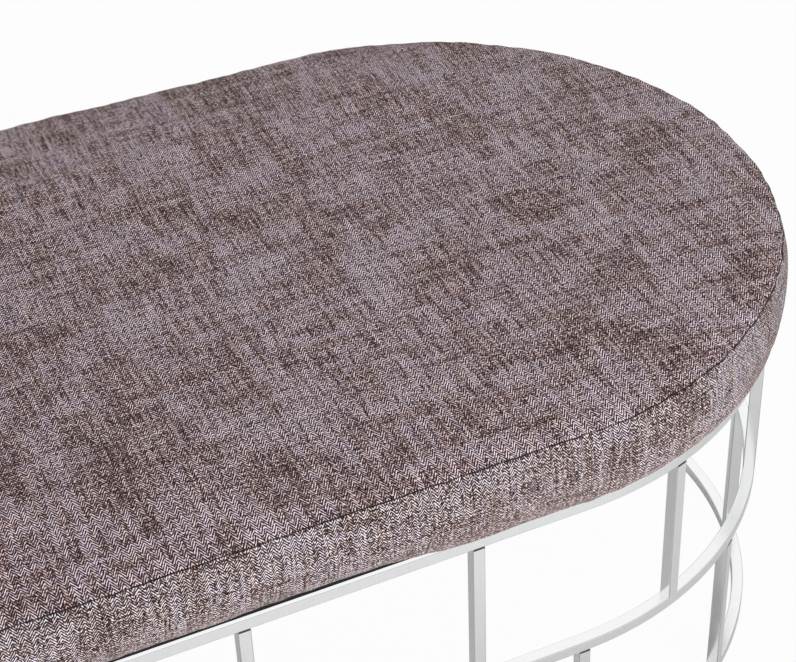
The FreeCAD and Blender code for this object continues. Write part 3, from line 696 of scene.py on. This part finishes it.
# Cloth simulation of the cover, on a coarse grid
STUFFING_FRAMES = 20
STUFFING_PRESSURE = 4
STUFFING_SHRINK_SHARE = -0.012
STUFFING_CAP = 1.6 * MILLIMETRE
STUFFING_EDGE = 22 * MILLIMETRE
STUFFING_ROW_STEP = 4
STUFFING_TOP_STEP = 2
STUFFING_INNER_ROWS = 21
SMALLEST_MOVE = 0.001 * MILLIMETRE


def grid_faces(row_count, column_count):
    """Corners of the squares between rows of a grid that is closed round its columns."""
    ring = np.arange(column_count)
    following = np.roll(ring, -1)
    start = np.arange(row_count - 1)[:, None] * column_count
    stop = start + column_count
    corners = (start + ring, start + following, stop + following, stop + ring)
    return np.stack(corners, axis=-1).reshape(-1, 4)


def stuff_cover(places, distance, foot_row, seam_row):
    """Blows the cover up as cloth between its foot, its seam and its middle, and adds the capped moves.

    The cloth has every second column of the cover. The columns between them move by the mean of
    their two neighbours.
    """
    last_row = seam_row + STUFFING_INNER_ROWS
    side_rows = list(range(foot_row, seam_row, STUFFING_ROW_STEP))
    top_rows = list(range(last_row, seam_row + STUFFING_ROW_STEP, -STUFFING_TOP_STEP))[::-1]
    rows = [*side_rows, seam_row, *top_rows]
    coarse = places[rows][:, ::2]
    column_count = coarse.shape[1]
    mesh = bpy.data.meshes.new("stuffing")
    mesh.from_pydata(coarse.reshape(-1, 3).tolist(), [], grid_faces(len(rows), column_count).tolist())
    item = bpy.data.objects.new("stuffing", mesh)
    scene = bpy.context.scene
    scene.collection.objects.link(item)
    pins = item.vertex_groups.new(name="pins")
    for row in (0, len(side_rows), len(rows) - 1):
        pins.add(list(range(row * column_count, (row + 1) * column_count)), 1.0, "REPLACE")
    cloth = item.modifiers.new("cloth", "CLOTH")
    cloth.settings.vertex_group_mass = "pins"
    cloth.settings.use_pressure = True
    cloth.settings.uniform_pressure_force = STUFFING_PRESSURE
    cloth.settings.shrink_min = STUFFING_SHRINK_SHARE
    cloth.settings.effector_weights.gravity = 0
    cloth.point_cache.frame_end = STUFFING_FRAMES
    for number in range(1, STUFFING_FRAMES + 1):
        scene.frame_set(number)
    blown = np.empty(coarse.size, dtype=np.float32)
    shown = item.evaluated_get(bpy.context.evaluated_depsgraph_get())
    shown.data.vertices.foreach_get("co", blown)
    bpy.data.objects.remove(item)
    bpy.data.meshes.remove(mesh)
    scene.frame_set(1)
    moves = blown.reshape(coarse.shape) - coarse
    length = np.maximum(np.linalg.norm(moves, axis=2, keepdims=True), SMALLEST_MOVE)
    moves *= STUFFING_CAP * np.tanh(length / STUFFING_CAP) / length
    shares = [np.interp(distance[foot_row:last_row + 1], distance[rows], row) for row in np.eye(len(rows))]
    moves = np.einsum("rf,rcx->fcx", np.array(shares), moves)
    reach = distance[foot_row:last_row + 1, None, None]
    moves *= ease(np.abs(reach), 0, STUFFING_EDGE) * ease(reach - reach[0], 0, STUFFING_EDGE)
    cover = places[foot_row:last_row + 1]
    cover[:, ::2] += moves
    cover[:, 1::2] += (moves + np.roll(moves, -1, axis=1)) / 2


SPINE_DECIMALS = 3


def spine_cap(ring, spine, level, first):
    """Points along the cushion's spine at a level, and the faces that join a ring of vertices to them."""
    keys = [round(place[0] / MILLIMETRE, SPINE_DECIMALS) for place in spine]
    numbers = {key: first + number for number, key in enumerate(dict.fromkeys(keys))}
    points = [(key * MILLIMETRE, 0.0, level) for key in numbers]
    faces = []
    for column, key in enumerate(keys):
        following = (column + 1) % len(keys)
        near = numbers[key]
        far = numbers[keys[following]]
        faces.append([ring[column], ring[following], *([far, near] if near != far else [near])])
    return points, faces


def make_cushion(cloth):
    """Closed boxed cushion: cover and foam in one, with a recess for the seat board."""
    spine, outward, lengths = seam_outline()
    profile, distance, foot_row, seam_row = cushion_profile()
    plan = spine + (SEAM_RADIUS + profile[:, :1, None]) * outward
    height = np.broadcast_to(profile[:, 1:, None], (*plan.shape[:2], 1))
    places = np.concatenate((plan, height), axis=2)
    settle_cover(places, outward, lengths, distance, foot_row)
    stuff_cover(places, distance, foot_row, seam_row)

    row_count, column_count = places.shape[:2]
    ring = np.arange(column_count)
    points = places.reshape(-1, 3).tolist()
    faces = grid_faces(row_count, column_count).tolist()
    crown_level = float(crown_profile(np.array(SEAM_RADIUS)))
    last_ring = (row_count - 1) * column_count + ring
    top_points, top_faces = spine_cap(last_ring.tolist(), spine, crown_level, len(points))
    points += top_points
    recess_points, recess_faces = spine_cap(ring.tolist(), spine, profile[0, 1], len(points))
    points += recess_points
    caps = top_faces + [face[::-1] for face in recess_faces]

    side_weave = np.empty((row_count, column_count + 1, 2))
    side_weave[:, :, 0] = lengths
    side_weave[:, :, 1] = distance[:, None] / BOXING_PITCH_SHARE - SEAM_RADIUS
    top_weave = np.concatenate((plan, plan[:, :1]), axis=1)
    weave = []
    for grid in (side_weave[:seam_row + 1], top_weave[seam_row:]):
        corners = (grid[:-1, :-1], grid[:-1, 1:], grid[1:, 1:], grid[1:, :-1])
        weave.append(np.stack(corners, axis=2).reshape(-1, 2))
    weave.append(np.array([points[corner][:2] for face in caps for corner in face]))

    mesh = bpy.data.meshes.new("seat_cushion")
    mesh.from_pydata(points, [], faces + caps)
    layer = mesh.uv_layers.new(name="weave")
    layer.uv.foreach_set("vector", np.concatenate(weave).astype(np.float32).ravel())
    from_seam = [
        np.repeat(distance, column_count),
        np.full(len(top_points), SEAM_RADIUS),
        np.full(len(recess_points), distance[0]),
    ]
    attribute = mesh.attributes.new("seam_distance", "FLOAT", "POINT")
    attribute.data.foreach_set("value", np.concatenate(from_seam).astype(np.float32))
    mesh.shade_smooth()
    mesh.materials.append(cloth)
    cushion = bpy.data.objects.new("seat_cushion", mesh)
    bpy.context.scene.collection.objects.link(cushion)
    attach(cushion, "root")
    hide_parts("cover_top_panel", "cover_boxing", "foam_core")
    # The ring tops show the white studio and not the underside of the seat
    for seat_piece in (cushion, nodes["dust_cover"], nodes["seat_board"], nodes["felt_strip"]):
        seat_piece.visible_glossy = False


# Studio, with its lengths in metres
FLOOR_HALF_SIZE = 12.0
FLOOR_COLOUR = (0.62, 0.62, 0.62, 1)
FLOOR_WHITE_SHARE = 0.96
FRONT_GLOSS_SHARE = 0.52
UNDER_GLOSS_SHARE = 0.06
GLOSS_FADE_START = -800 * MILLIMETRE
GLOSS_FADE_STOP = -420 * MILLIMETRE
DOME_LEVEL = 0.45


def seen_shares(graph, camera_share, gloss_share):
    """White share of the background for rays from the camera, and for those by gloss or through glass."""
    ray = graph.node("ShaderNodeLightPath").outputs
    gloss = graph.math("MAXIMUM", ray["Is Glossy Ray"], ray["Is Transmission Ray"])
    seen = graph.math("MULTIPLY", ray["Is Camera Ray"], camera_share)
    return graph.math("MAXIMUM", seen, graph.math("MULTIPLY", gloss, gloss_share))


def make_floor():
    """Floor that the camera sees almost white, with the bench's shadow, and that the chrome sees greyer."""
    mesh = bpy.data.meshes.new("floor")
    signs = ((-1, -1), (1, -1), (1, 1), (-1, 1))
    corners = [(x * FLOOR_HALF_SIZE, y * FLOOR_HALF_SIZE, 0) for x, y in signs]
    mesh.from_pydata(corners, [], [(0, 1, 2, 3)])
    material, graph = new_material("pale_floor")
    lit = graph.node("ShaderNodeBsdfDiffuse", {"Color": FLOOR_COLOUR}).outputs[0]
    white = graph.node("ShaderNodeEmission", {"Color": (1, 1, 1, 1), "Strength": 1.0}).outputs[0]
    place = graph.node("ShaderNodeNewGeometry").outputs["Position"]
    across = graph.node("ShaderNodeSeparateXYZ", {0: place}).outputs["Y"]
    shares = (FRONT_GLOSS_SHARE, UNDER_GLOSS_SHARE)
    gloss_share = graph.spread(across, GLOSS_FADE_START, GLOSS_FADE_STOP, *shares)
    share = seen_shares(graph, FLOOR_WHITE_SHARE, gloss_share)
    shown = graph.node("ShaderNodeMixShader", {0: share, 1: lit, 2: white}).outputs[0]
    graph.node("ShaderNodeOutputMaterial", {"Surface": shown})
    mesh.materials.append(material)
    floor = bpy.data.objects.new("floor", mesh)
    bpy.context.scene.collection.objects.link(floor)


def make_world():
    """Even dome of light, white to the camera and in reflections."""
    world = bpy.data.worlds.new("studio")
    world.use_nodes = True
    graph = Graph(world.node_tree)
    seen = seen_shares(graph, 1.0, 1.0)
    dome = graph.node("ShaderNodeBackground", {"Color": (1, 1, 1, 1), "Strength": DOME_LEVEL}).outputs[0]
    white = graph.node("ShaderNodeBackground", {"Color": (1, 1, 1, 1), "Strength": 1.0}).outputs[0]
    shown = graph.node("ShaderNodeMixShader", {0: seen, 1: dome, 2: white}).outputs[0]
    graph.node("ShaderNodeOutputWorld", {"Surface": shown})
    bpy.context.scene.world = world


# Softboxes: name, place and size in metres, power in watts
SOFTBOXES = (
    ("front_softbox", (0.9, -3.2, 1.5), 2.4, 107),
    ("top_softbox", (0.3, 0.6, 3.4), 2.4, 28),
)
SOFTBOX_AIM = Vector((0.1, 0, 0.4))


def make_lamps():
    """Softboxes that show neither to the camera nor in the chrome."""
    for name, place, size, power in SOFTBOXES:
        lamp = bpy.data.lights.new(name, "AREA")
        lamp.size = size
        lamp.energy = power
        item = bpy.data.objects.new(name, lamp)
        item.location = place
        item.rotation_mode = "QUATERNION"
        item.rotation_quaternion = (SOFTBOX_AIM - Vector(place)).to_track_quat("-Z", "Y")
        item.visible_camera = False
        item.visible_glossy = False
        bpy.context.scene.collection.objects.link(item)


def make_camera():
    """Camera at the photograph's place, turned by its azimuth, dip and roll."""
    forward = Vector((
        math.sin(VIEW_AZIMUTH) * math.cos(VIEW_DIP),
        math.cos(VIEW_AZIMUTH) * math.cos(VIEW_DIP),
        -math.sin(VIEW_DIP),
    ))
    level_right = Vector((math.cos(VIEW_AZIMUTH), -math.sin(VIEW_AZIMUTH), 0))
    level_up = level_right.cross(forward)
    right = math.cos(VIEW_ROLL) * level_right + math.sin(VIEW_ROLL) * level_up
    up = math.cos(VIEW_ROLL) * level_up - math.sin(VIEW_ROLL) * level_right
    data = bpy.data.cameras.new("camera")
    data.sensor_width = SENSOR_WIDTH_MM
    data.lens = FOCAL_LENGTH_PX * SENSOR_WIDTH_MM / PICTURE_WIDTH_PX
    camera = bpy.data.objects.new("camera", data)
    turn = Matrix((right, up, -forward)).transposed().to_4x4()
    camera.matrix_world = Matrix.Translation(CAMERA_PLACE) @ turn
    bpy.context.scene.collection.objects.link(camera)
    bpy.context.scene.camera = camera


dress_frame()
make_cushion(make_cloth_material())
make_floor()
make_world()
make_lamps()
make_camera()
bpy.context.scene.view_settings.view_transform = "Standard"
